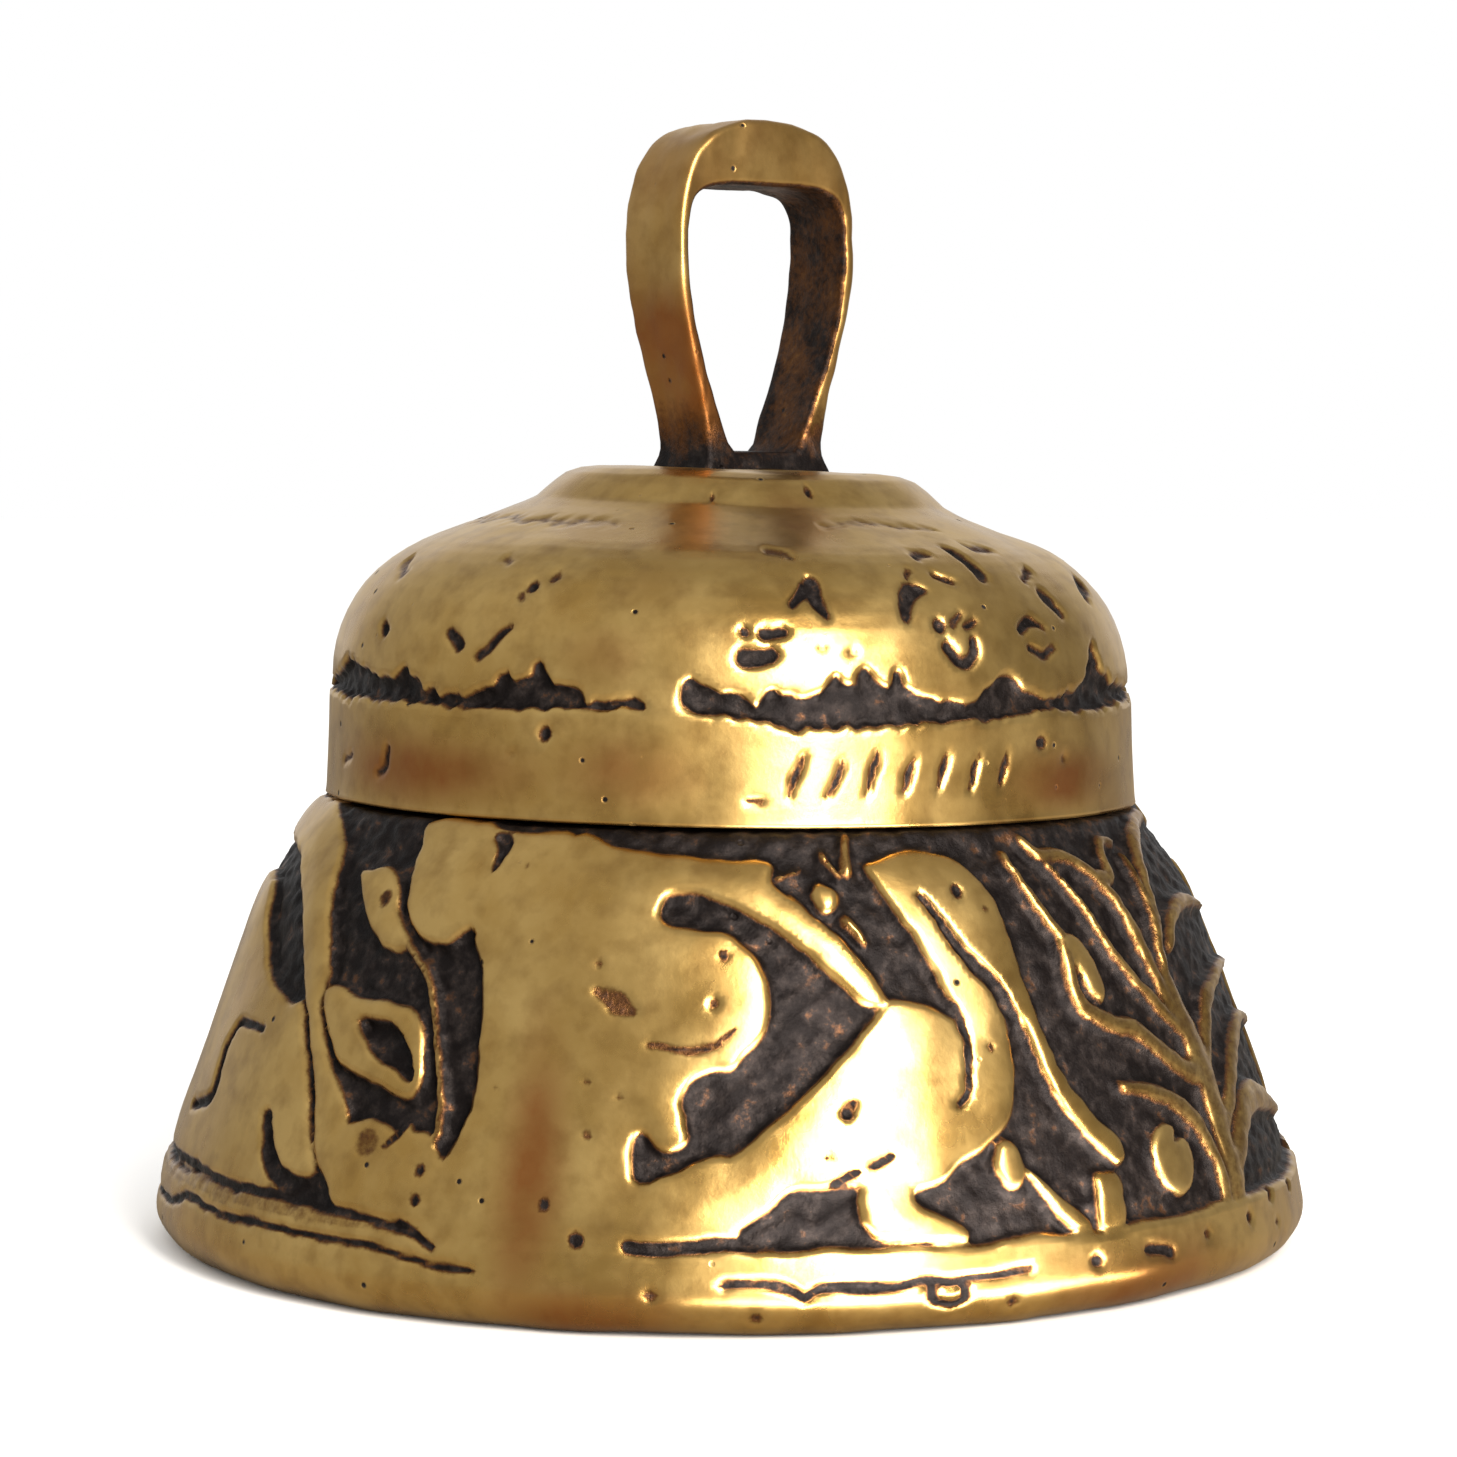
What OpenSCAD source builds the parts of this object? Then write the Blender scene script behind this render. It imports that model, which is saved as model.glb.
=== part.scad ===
// Small cast brass hand bell with a strap loop handle and a hanging clapper.
// Millimetres, +Z up. The origin is the centre of the rim that the bell stands on.

/* [Bell] */
// Widest diameter, at the rounded lip
mouth_d = 70; // [68:0.5:76]
// Height of the rounded lip below the picture frieze
lip_h = 6.2; // [5:0.1:7.5]
// Lean of the skirt from upright, in degrees
flare = 20; // [17:0.5:22]
// Height of the skirt's straight stretch
skirt_h = 13.1; // [11:0.1:15]
// Height of the plain band round the shoulder
band_h = 6.2; // [4:0.1:8]
// Radius of the dome's turn above the band
dome_r = 9; // [8:0.1:10]
// Thickness of the skirt's wall
wall = 2.5; // [2:0.1:3.2]

/* [Crown] */
// Height of the flat disc above the dome
crown_rise = 2.4; // [1.8:0.1:3]
// Diameter of the flat disc on top
crown_d = 20; // [17:0.5:21]
// Thickness of the metal under the handle
crown_t = 3.5; // [3:0.1:4.5]
// Diameter of the hole for the handle's spigot
crown_hole_d = 6; // [5:0.1:7]

/* [Handle] */
// Outer width of the loop at its belly
loop_w = 14; // [12:0.1:18]
// Height of the loop above the crown
loop_h = 20.9; // [16:0.1:28]
// Outer width of the loop at its foot
foot_w = 9; // [8:0.1:11]
// Width of the strap, front to back
strap_w = 5.6; // [4:0.1:7]
// Thickness of the strap's legs at the belly
strap_t = 1.1; // [1:0.1:1.8]
// Thickness of the strap's legs at the foot
strap_foot_t = 1.45; // [1.2:0.05:1.8]
// Thickness of the strap at the top of the loop
strap_top_t = 4.1; // [2:0.1:5]

/* [Clapper] */
// Diameter of the clapper's ball
ball_d = 13; // [9:0.5:14]
// How far the clapper's tip stays above the rim
tip_gap = 1.3; // [0.5:0.1:4]
// Diameter of the clapper's rod
rod_d = 1.8; // [1.5:0.1:2.2]
// Diameter of the link's wire
link_d = 1.4; // [1.2:0.1:1.6]
// Diameter of the wire in the eye bolt's eye
eye_d = 1.6; // [1.4:0.1:1.8]
// Diameter of the eye bolt's shank
shank_d = 3.2; // [2.8:0.1:3.6]

/* [Hidden] */

brass = "#b08d4a";
dull_brass = "#8f7440";
iron = "#5c5550";

fine = 96;         // sides of the large turned surfaces
small = 48;        // sides of the small round ones
tiny = 0.01;       // overlap that joins shapes of one piece
play = 0.25;       // gap between a hanging piece and the wire that it hangs on

// Points of an arc about c, from angle a0 to a1, both ends included
function arc(c, r, a0, a1, n) =
    [for (i = [0:n]) let (a = a0 + (a1 - a0) * i / n) c + r * [cos(a), sin(a)]];

// ---- bell: outer line, from the rim up to the crown ----
mouth_r = mouth_d / 2;
lip_r = 2.2;                                   // rounding of the lip's outer corner
lip_c = [mouth_r - lip_r, lip_r];
lip_turn = 15;                                 // the lip's arc ends this far above its widest line
skirt_0 = [mouth_r - 0.7, lip_h];
skirt_1 = skirt_0 + skirt_h * [-tan(flare), 1];
shoulder_r = 20;                               // the skirt closes in on this radius under the band
shoulder_end = 45;
shoulder_c = skirt_1 - shoulder_r * [cos(flare), sin(flare)];
shoulder_top = shoulder_c + shoulder_r * [cos(shoulder_end), sin(shoulder_end)];
band_0 = shoulder_top + [-0.25, 0.3];
band_1 = band_0 + [-0.25, band_h - 0.3];
dome_c = band_1 + [-dome_r - 0.2, 0.9];
dome_end = 70;                                 // the dome's arc stops here and runs on straight
crown_r = crown_d / 2;
cone_len = (dome_c[0] + dome_r * cos(dome_end) - crown_r - 3.3) / sin(dome_end);
dome_1 = dome_c + dome_r * [cos(dome_end), sin(dome_end)];
crown_foot = dome_1 + cone_len * [-sin(dome_end), cos(dome_end)];
crown_z = crown_foot[1] + crown_rise;
edge_r = 0.9;                                  // rounding of the crown's edge

// ---- bell: inner line ----
rim_in = mouth_r - 3.6;                        // inner edge of the flat rim
rim_r = 0.4;
wall_x = wall / cos(flare);                    // the wall measured level
inner_0 = [skirt_0[0] - wall_x - 0.2, lip_h - 0.7];
inner_1 = skirt_1 - wall * [cos(flare), sin(flare)];
inner_2 = shoulder_top - wall * [cos(shoulder_end), sin(shoulder_end)] + [-0.7, 0];
dome_in_r = dome_r - 2.4;
ceiling = crown_z - crown_t;
dome_in_1 = dome_c + dome_in_r * [cos(dome_end), sin(dome_end)];
ceiling_r = dome_in_1[0] - (ceiling - dome_in_1[1]) * tan(dome_end);

// ---- the hanging line under the crown ----
washer_d = 12;
washer_t = 0.8;
nut_w = 7;                                     // across flats
nut_t = 2.2;
washer_z = ceiling - washer_t;
nut_z = washer_z - nut_t;
eye_r = 2.4;                                   // eye's wire centre line
eye_z = nut_z - 0.4 - eye_r - eye_d / 2;       // centre of the eye
pivot_1 = eye_z - eye_r;                       // the link turns about the eye's lowest wire
link_bow = eye_d / 2 + play + link_d / 2;      // radius of the link's bows, on the wire's centre
link_run = 2.4;                                // length of the link's straight sides
pivot_2 = pivot_1 - link_run - link_bow;       // the clapper turns about the link's lowest wire
rod_eye_d = 1.5;                               // wire of the clapper's eye
rod_eye_r = link_d / 2 + 0.3 + rod_eye_d / 2;
head_d = rod_d + 1.6;                          // the rod's end, peened over under the ball
head_t = 0.9;
ball_flat = 0.25;                              // filed off the ball where the rod's head bears
ball_z = tip_gap + head_t + ball_d / 2 - ball_flat;
spigot_l = crown_t - 0.3;
tapped_up = 0.6;                               // the tapped hole runs this far into the foot

// ---- handle ----
foot_t = 1.1;                                  // bar that joins the two legs
foot_r = 0.5;                                  // fillet between that bar and a leg
belly_z = crown_z + 13;
loop_top = crown_z + loop_h;

// Swell of the loop's leg, from 0 at the foot to 1 at the belly: outside it starts slowly, inside at once
function outer_swell(t) = (1 - cos(180 * t)) / 2;
function inner_swell(t) = sin(90 * t);

// Right half of the loop's outline, from the foot up; e squares off the arch
function loop_half(foot, belly, z0, z1, top, e, n, inside = false) = concat(
    [for (i = [0:n - 1]) let (t = i / n)
        [foot + (belly - foot) * (inside ? inner_swell(t) : outer_swell(t)), z0 + (z1 - z0) * t]],
    [for (i = [0:n]) let (a = 90 * i / n)
        [belly * pow(max(cos(a), 0), 2 / e), z1 + (top - z1) * pow(sin(a), 2 / e)]]);

function mirrored(half) = concat(half,
    [for (i = [len(half) - 2:-1:0]) [-half[i][0], half[i][1]]]);

module bell_profile() {
    outer = concat(
        [[rim_in, 0]],
        arc(lip_c, lip_r, -90, lip_turn, 8),
        [skirt_0],
        arc(shoulder_c, shoulder_r, flare, shoulder_end, 6),
        [band_0, band_1],
        arc(dome_c, dome_r, 0, dome_end, 8),
        [crown_foot, crown_foot + [-0.8, 0.4], [crown_r + 1.2, crown_z - 0.9]],
        arc([crown_r - 0.2, crown_z - edge_r], edge_r, 50, 90, 3));
    inner = concat(
        [[crown_hole_d / 2, crown_z], [crown_hole_d / 2, ceiling], [ceiling_r, ceiling]],
        arc(dome_c, dome_in_r, dome_end, 0, 8),
        [[dome_c[0] + dome_in_r - 0.1, inner_2[1] + 1.2], inner_2],
        [inner_1, inner_0],
        [[rim_in - rim_r, 2]],
        arc([rim_in, rim_r], rim_r, 180, 270, 3));
    polygon(concat(outer, inner));
}

module bell_body() {
    color(brass) rotate_extrude($fn = fine) bell_profile();
}

module loop_handle() {
    color(brass) difference() {
        union() {
            rotate([90, 0, 0]) translate([0, 0, -strap_w / 2]) linear_extrude(strap_w) difference() {
                polygon(mirrored(loop_half(foot_w / 2, loop_w / 2, crown_z, belly_z, loop_top, 2.6, 10)));
                polygon(mirrored(concat([[foot_w / 2 - strap_foot_t - foot_r, crown_z + foot_t]],
                    loop_half(foot_w / 2 - strap_foot_t, loop_w / 2 - strap_t, crown_z + foot_t + foot_r,
                        belly_z, loop_top - strap_top_t, 4.5, 10, inside = true))));
            }
            translate([0, 0, crown_z - spigot_l])
                cylinder(d = crown_hole_d, h = spigot_l + tiny, $fn = small);
        }
        translate([0, 0, crown_z - spigot_l - 1])
            cylinder(d = shank_d, h = spigot_l + 1 + tapped_up, $fn = small);
    }
}

module crown_washer() {
    color(dull_brass) translate([0, 0, washer_z]) difference() {
        cylinder(d = washer_d, h = washer_t, $fn = small);
        translate([0, 0, -1]) cylinder(d = shank_d + 0.2, h = washer_t + 2, $fn = small);
    }
}

module lock_nut() {
    color(dull_brass) translate([0, 0, nut_z]) difference() {
        cylinder(d = nut_w / cos(30), h = nut_t, $fn = 6);
        translate([0, 0, -1]) cylinder(d = shank_d, h = nut_t + 2, $fn = small);
    }
}

// A closed ring of round wire standing in the XZ plane
module wire_ring(z, r, wire) {
    translate([0, 0, z]) rotate([90, 0, 0])
        rotate_extrude($fn = small) translate([r, 0]) circle(d = wire, $fn = small);
}

module eye_bolt() {
    shank_0 = eye_z + eye_r;
    shank_top = crown_z + tapped_up - 0.1;
    color(dull_brass) union() {
        wire_ring(eye_z, eye_r, eye_d);
        translate([0, 0, shank_0]) cylinder(d = shank_d, h = shank_top - shank_0, $fn = small);
    }
}

module clapper_link() {
    color(iron) translate([0, 0, pivot_1]) rotate([0, 0, 90]) rotate([90, 0, 0]) union() {
        for (s = [-1, 1])
            translate([s * link_bow, 0, 0]) rotate([90, 0, 0])
                cylinder(d = link_d, h = link_run, $fn = small);
        rotate_extrude(angle = 180, $fn = small) translate([link_bow, 0]) circle(d = link_d, $fn = small);
        translate([0, -link_run, 0]) rotate([0, 0, 180])
            rotate_extrude(angle = 180, $fn = small) translate([link_bow, 0]) circle(d = link_d, $fn = small);
    }
}

module clapper_rod() {
    rod_top = pivot_2 - rod_eye_r;
    color(iron) union() {
        wire_ring(pivot_2, rod_eye_r, rod_eye_d);
        translate([0, 0, tip_gap]) cylinder(d = rod_d, h = rod_top - tip_gap, $fn = small);
        translate([0, 0, tip_gap]) cylinder(d1 = head_d - 0.8, d2 = head_d, h = head_t, $fn = small);
    }
}

module clapper_ball() {
    color(brass) translate([0, 0, ball_z]) difference() {
        sphere(d = ball_d, $fn = fine);
        cylinder(d = rod_d, h = ball_d + 2, center = true, $fn = small);
        translate([0, 0, ball_flat - 1.5 * ball_d]) cube(2 * ball_d, center = true);
    }
}

bell_body();
loop_handle();
crown_washer();
lock_nut();
eye_bolt();
clapper_link();
clapper_rod();
clapper_ball();
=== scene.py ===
"""A small cast brass hand bell: skirt with a low frieze, banded crown, strap loop and hanging clapper.

The sections follow the bell as it is put together: the casting, its handle, then the clapper's gear.
Every piece is in metres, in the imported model's frame, with +Z up and the origin at the rim's centre.
"""

import math

import bmesh
import bpy
import numpy as np
from mathutils import Matrix, Vector


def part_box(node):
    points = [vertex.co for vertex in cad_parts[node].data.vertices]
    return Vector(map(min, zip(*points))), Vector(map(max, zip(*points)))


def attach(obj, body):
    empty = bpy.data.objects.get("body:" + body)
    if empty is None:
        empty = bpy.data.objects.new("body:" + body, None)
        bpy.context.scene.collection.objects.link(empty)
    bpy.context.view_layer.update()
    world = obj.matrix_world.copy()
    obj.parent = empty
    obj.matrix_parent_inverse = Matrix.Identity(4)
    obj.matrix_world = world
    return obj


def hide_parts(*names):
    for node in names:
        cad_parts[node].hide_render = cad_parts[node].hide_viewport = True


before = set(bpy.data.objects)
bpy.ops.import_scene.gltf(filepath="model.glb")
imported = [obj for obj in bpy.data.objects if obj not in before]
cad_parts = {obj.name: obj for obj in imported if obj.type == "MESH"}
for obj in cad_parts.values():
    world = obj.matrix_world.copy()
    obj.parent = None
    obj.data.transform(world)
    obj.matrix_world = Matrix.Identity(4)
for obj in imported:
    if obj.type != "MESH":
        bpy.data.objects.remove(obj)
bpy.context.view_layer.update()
MM = 0.001


# ---- Camera ----
# A tabletop close-up: a long lens a quarter of a metre away and a little under the handle's foot, looking a
# few degrees down on the bell.
FRONT = -130.0  # polar angle of the side that faces the camera, in degrees
CAMERA_REACH = 255 * MM
CAMERA_HEIGHT = 47 * MM
CAMERA_DIP, CAMERA_TURN = 3.7, 0.03  # how far it looks down and to the left, in degrees
CAMERA_LENS = 103.5  # focal length in mm, on a 36 mm sensor


def put(name, data):
    """A new object of that name in the scene, at the origin."""
    made = bpy.data.objects.new(name, data)
    bpy.context.scene.collection.objects.link(made)
    return made


camera = put("camera", bpy.data.cameras.new("camera"))
camera.location = (
    CAMERA_REACH * math.cos(math.radians(FRONT)),
    CAMERA_REACH * math.sin(math.radians(FRONT)),
    CAMERA_HEIGHT,
)
camera.rotation_euler = (math.radians(90 - CAMERA_DIP), 0, math.radians(FRONT + 90 + CAMERA_TURN))
camera.data.sensor_width = 36
camera.data.lens = CAMERA_LENS
camera.data.clip_start = 0.01
bpy.context.scene.camera = camera
bpy.context.scene.view_settings.view_transform = "Standard"


# ---- Floor and light ----
# A table painted matt white. One tall soft panel stands at the front right, a white card lies on the table
# to light the lip from below, and the room is bright behind and above.
TABLE_R = 3.0  # metres
PANEL_AIM_Z = 30 * MM
CARD_BEARING = 23  # degrees from the bell's front
ROOM_GLOW = 0.30  # what the walls give in every direction
FLOOR_FILL = 1.22  # what the room gives to matt surfaces


def linear(colour):
    """An sRGB hex colour as linear red, green, blue and alpha."""
    parts = [int(colour[i:i + 2], 16) / 255 for i in (1, 3, 5)]
    return [c / 12.92 if c <= 0.04045 else ((c + 0.055) / 1.055) ** 2.4 for c in parts] + [1]


def add(tree, kind, inputs=None, **settings):
    """Adds a shader node with its settings, and sets or links its inputs."""
    made = tree.nodes.new(kind)
    for name, value in settings.items():
        setattr(made, name, value)
    for name, value in (inputs or {}).items():
        if isinstance(value, bpy.types.NodeSocket):
            tree.links.new(value, made.inputs[name])
        else:
            made.inputs[name].default_value = value
    return made


def new_material(name):
    """An empty node material and its tree."""
    material = bpy.data.materials.new(name)
    material.use_nodes = True
    material.node_tree.nodes.clear()
    return material, material.node_tree


def painted_table():
    """Matt white paint on board, a very light orange peel, so that it takes a soft shadow and no gloss."""
    material, tree = new_material("matt_white_table_paint")
    place = add(tree, "ShaderNodeTexCoord").outputs["Object"]
    peel = add(tree, "ShaderNodeTexNoise", {"Vector": place, "Scale": 900.0, "Detail": 2.0})
    bump = add(tree, "ShaderNodeBump", {
        "Height": peel.outputs["Fac"], "Strength": 0.1, "Distance": 0.02 * MM})
    # the brass mirrors a dimmer table than the eye sees
    mirrored = add(tree, "ShaderNodeLightPath").outputs["Is Glossy Ray"]
    colour = add(tree, "ShaderNodeMix", {
        "Factor": mirrored, 6: linear("#F5F4F2"), 7: linear("#8E8A84")}, data_type="RGBA")
    paint = add(tree, "ShaderNodeBsdfPrincipled", {
        "Base Color": colour.outputs[2], "Roughness": 0.9, "Specular IOR Level": 0.0,
        "Normal": bump.outputs["Normal"]})
    add(tree, "ShaderNodeOutputMaterial", {"Surface": paint.outputs["BSDF"]})
    return material


bm = bmesh.new()
bmesh.ops.create_circle(bm, cap_ends=True, segments=96, radius=TABLE_R)
table_mesh = bpy.data.meshes.new("table")
bm.to_mesh(table_mesh)
bm.free()
table = put("table", table_mesh)
table.data.materials.append(painted_table())


def soft_panel(name, bearing, height, reach, width, tall, power, colour):
    """A soft light at that bearing from the bell's front, in degrees, facing the bell."""
    lamp = bpy.data.lights.new(name, "AREA")
    lamp.shape = "RECTANGLE"
    lamp.size, lamp.size_y = width, tall
    lamp.energy = power
    lamp.color = linear(colour)[:3]
    panel = put(name, lamp)
    angle = math.radians(FRONT + bearing)
    panel.location = (reach * math.cos(angle), reach * math.sin(angle), height)
    aim = Vector((0, 0, PANEL_AIM_Z)) - panel.location
    panel.rotation_euler = aim.to_track_quat("-Z", "Y").to_euler()
    panel.visible_camera = False
    return panel


soft_panel("key_panel", 25, 0.215, 0.50, 0.17, 0.41, 5.9, "#FFF9F2")
bounce_card = soft_panel("bounce_card", CARD_BEARING, 0.0006, 0.056, 0.037, 0.040, 0.085, "#FFF9F2")
bounce_card.rotation_euler = (math.radians(180), 0, math.radians(FRONT + CARD_BEARING))  # laid flat, face up

world = bpy.data.worlds.new("studio")
bpy.context.scene.world = world
world.use_nodes = True
tree = world.node_tree
tree.nodes.clear()
way = add(tree, "ShaderNodeTexCoord").outputs["Generated"]


def glow_towards(direction, start, end, strength):
    """Light that grows as the cosine of a ray's angle to that direction goes from start to end."""
    turn = add(tree, "ShaderNodeVectorMath", {0: way, 1: direction}, operation="DOT_PRODUCT")
    return add(tree, "ShaderNodeMapRange", {
        "Value": turn.outputs["Value"], "From Min": start, "From Max": end, "To Max": strength},
        interpolation_type="SMOOTHSTEP").outputs["Result"]


left = (math.cos(math.radians(FRONT - 75)), math.sin(math.radians(FRONT - 75)), 0.35)
behind = (-math.cos(math.radians(FRONT)), -math.sin(math.radians(FRONT)), 0)
room = add(tree, "ShaderNodeMath", {
    0: glow_towards(behind, 0.55, 1.0, 0.60), 1: glow_towards((0, 0, 1), 0.3, 0.95, 0.12)}, operation="ADD")
room = add(tree, "ShaderNodeMath", {
    0: room.outputs[0], 1: glow_towards(left, 0.3, 1.05, 0.24)}, operation="ADD")
room = add(tree, "ShaderNodeMath", {0: room.outputs[0], 1: ROOM_GLOW}, operation="ADD")
path = add(tree, "ShaderNodeLightPath")
strength = add(tree, "ShaderNodeMix", {
    "Factor": path.outputs["Is Diffuse Ray"], 2: room.outputs[0], 3: FLOOR_FILL}, data_type="FLOAT")
strength = add(tree, "ShaderNodeMix", {
    "Factor": path.outputs["Is Camera Ray"], 2: strength.outputs[0], 3: 1.0}, data_type="FLOAT")
backdrop = add(tree, "ShaderNodeBackground", {"Color": linear("#FFFFFF"), "Strength": strength.outputs[0]})
add(tree, "ShaderNodeOutputWorld", {"Surface": backdrop.outputs["Background"]})


# ---- The bell's casting: profile ----
# One sand casting. Its outline is turned about the axis: rounded lip, flared skirt, plain band, dome and
# crown disc. It is meshed in two pieces that meet out of sight in the groove under the band.
bell_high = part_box("bell_body")[1]
SIDE = (math.cos(math.radians(FRONT + 90)), math.sin(math.radians(FRONT + 90)))  # to the right of the front
MOUTH_R = bell_high.x / MM
CROWN_Z = bell_high.z / MM
JOINT_Z = 26.6  # the two meshes of the casting meet here
JOINT_R = 21.9  # the bore there
SKIRT_TURNS, CROWN_TURNS = 720, 600  # columns round each mesh
SKIRT_STEP, CROWN_STEP = 0.27, 0.25  # spacing of the rings, in mm

LIP_R = 2.2
FLARE = 20.0  # degrees that the skirt leans in
SKIRT_FOOT_Z, SKIRT_RISE = 6.2, 13.1  # the straight part of the skirt
SHOULDER_R, SHOULDER_END = 20.0, 45.0  # it rolls in to the band over this radius, to this many degrees
BAND_TALL = 5.9
DOME_R, DOME_END = 9.0, 70.0
DOME_WALL, CROWN_WALL = 2.4, 3.5  # thickness of the metal
HOLE_R = 3.0  # the hole in the crown for the handle's spigot


def arc(centre, radius, start, end, count=12):
    """Points of an arc, angles in degrees from the radial direction upwards."""
    angles = np.radians(np.linspace(start, end, count))
    return [(centre[0] + radius * math.cos(a), centre[1] + radius * math.sin(a)) for a in angles]


skirt_foot = (MOUTH_R - 0.7, SKIRT_FOOT_Z)
skirt_top = (skirt_foot[0] - SKIRT_RISE * math.tan(math.radians(FLARE)), skirt_foot[1] + SKIRT_RISE)
shoulder_centre = (skirt_top[0] - SHOULDER_R * math.cos(math.radians(FLARE)),
                   skirt_top[1] - SHOULDER_R * math.sin(math.radians(FLARE)))
skirt_outer = (
    [(MOUTH_R - 3.6, 0)]
    + arc((MOUTH_R - LIP_R, LIP_R), LIP_R, -90, 15)
    + [skirt_foot]
    + arc(shoulder_centre, SHOULDER_R, FLARE, SHOULDER_END)
)
band_foot = (skirt_outer[-1][0] - 0.25, skirt_outer[-1][1] + 0.3)
band_head = (band_foot[0] - 0.25, band_foot[1] + BAND_TALL)
dome_centre = (band_head[0] - DOME_R - 0.2, band_head[1] + 0.9)
dome_outer = arc(dome_centre, DOME_R, 0, DOME_END)
# the crown ends in a small ogee moulding under its flat top
crown_outer = (
    [(band_foot[0] + 0.05, JOINT_Z), band_foot, band_head]
    + dome_outer
    + [(13.3, CROWN_Z - 2.4), (12.4, CROWN_Z - 2.0), (11.3, CROWN_Z - 1.0), (10.6, CROWN_Z - 0.46),
       (9.7, CROWN_Z - 0.13), (8.6, CROWN_Z), (3.4, CROWN_Z)]
)
skirt_inner = [(MOUTH_R - 4, 0.4), (MOUTH_R - 4, 2), (31.4, 5.5), (27.2, 18.4), (22.4, 24.8),
               (JOINT_R, JOINT_Z)]
crown_inner = (
    [(JOINT_R, JOINT_Z)]
    + arc(dome_centre, DOME_R - DOME_WALL, 0, DOME_END, 9)
    + [(9.3, CROWN_Z - CROWN_WALL), (HOLE_R, CROWN_Z - CROWN_WALL)]
)


def even(line, step):
    """The same line with points at an even spacing, its ends kept."""
    line = np.array(line, float)
    far = np.concatenate([[0], np.cumsum(np.hypot(*np.diff(line, axis=0).T))])
    stops = np.linspace(0, far[-1], max(2, round(far[-1] / step)))
    return np.stack([np.interp(stops, far, line[:, i]) for i in (0, 1)], axis=1)


SLICES = 12  # a twelfth of the turn is spun, then copied round and welded


def turned(name, outline, turns):
    """A closed outline of radius and height, in mm, turned about the bell's axis into a closed mesh."""
    bm = bmesh.new()
    verts = [bm.verts.new((r * MM, 0, z * MM)) for r, z in outline]
    edges = [bm.edges.new((a, b)) for a, b in zip(verts, verts[1:] + verts[:1])]
    bmesh.ops.spin(bm, geom=verts + edges, cent=(0, 0, 0), axis=(0, 0, 1), dvec=(0, 0, 0),
                   angle=math.tau / SLICES, steps=turns // SLICES, use_merge=False,
                   use_normal_flip=False, use_duplicate=False)
    first = bm.verts[:] + bm.edges[:] + bm.faces[:]
    for i in range(1, SLICES):
        copied = bmesh.ops.duplicate(bm, geom=first)["geom"]
        bmesh.ops.rotate(bm, verts=[v for v in copied if isinstance(v, bmesh.types.BMVert)], cent=(0, 0, 0),
                         matrix=Matrix.Rotation(math.tau * i / SLICES, 3, "Z"))
    bmesh.ops.remove_doubles(bm, verts=bm.verts, dist=0.005 * MM)
    bmesh.ops.recalc_face_normals(bm, faces=bm.faces)
    mesh = bpy.data.meshes.new(name)
    bm.to_mesh(mesh)
    bm.free()
    mesh.shade_smooth()
    return put(name, mesh)


# ---- The bell's casting: carving ----
# The foundry's pattern was cut by hand: figures stand proud of a sunken ground, and marks are chiselled
# into the band and dome. A place on the bell is its angle from the front, in degrees, and its height in mm.
GROUND = 0.72  # how far the ground lies under the figures, in mm
CUT = 0.5  # depth of a full chisel cut
EDGE = 0.30  # half the width of a cut's sloping side
REACH = 1.6  # a shape changes nothing farther off than this
HALF_TURN = 180.0  # the frieze is the same on both halves of the bell
SKIRT_DEGREE, CROWN_DEGREE = 0.55, 0.4  # mm of wall to a degree
SILL_Z = 4.9  # the sill under the frieze is rubbed bright up to here
# For figures and for ribs: the share of its height that an edge has lost, how far in that loss reaches in
# mm, and how brightly the top is rubbed.
FIGURE_WEAR = (0.32, 1.6, 1.0)
RIB_WEAR = (0.4, 0.5, 0.7)
RIB_SPREAD = 1.2  # casting has spread the ribs by this much
SOOT_EDGE, BRIGHT_EDGE, FADE = 0.26, 0.16, 0.42  # where soot starts and polish ends outside an outline, in mm
CROWN_SHIFT = (0.6 * SIDE[0], 0.6 * SIDE[1])  # the handle and crown sit this far off the axis, in mm


def smoothstep(x):
    """A soft ramp from 0 to 1 as x goes from 0 to 1."""
    x = np.clip(x, 0, 1)
    return x * x * (3 - 2 * x)


def half_way_round(angle):
    """The angle from the middle of whichever half of the bell it is on."""
    return (angle + HALF_TURN / 2) % HALF_TURN - HALF_TURN / 2


def ripple(points, size, seed):
    """A smooth random field from -1 to 1 whose bumps are about size across, in the points' unit."""
    dice = np.random.default_rng(seed)
    total = np.zeros(len(points))
    for _ in range(14):
        way_of_wave = dice.normal(size=3)
        way_of_wave /= np.linalg.norm(way_of_wave)
        pitch = size * dice.uniform(1.2, 2.6)
        total += np.sin(points @ way_of_wave * (math.tau / pitch) + dice.uniform(0, math.tau))
    return np.clip(total / 4, -1, 1)


def rounded(points, closed):
    """A smooth curve through the given points."""
    p = np.array(points, float)
    ahead = np.roll(p, -1, 0) if closed else np.vstack([p[1:], p[-1:]])
    before = np.roll(p, 1, 0) if closed else np.vstack([p[:1], p[:-1]])
    after = np.roll(p, -2, 0) if closed else np.vstack([p[2:], p[-1:], p[-1:]])
    spans = len(p) if closed else len(p) - 1
    t = np.arange(4)[:, None, None] / 4
    b, a, c, d = (x[:spans][None] for x in (p, before, ahead, after))
    curve = b + 0.5 * t * (c - a + t * (2 * a - 5 * b + 4 * c - d + t * (3 * (b - c) + d - a)))
    curve = curve.transpose(1, 0, 2).reshape(-1, p.shape[1])
    return curve if closed else np.vstack([curve, p[-1:]])


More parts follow.
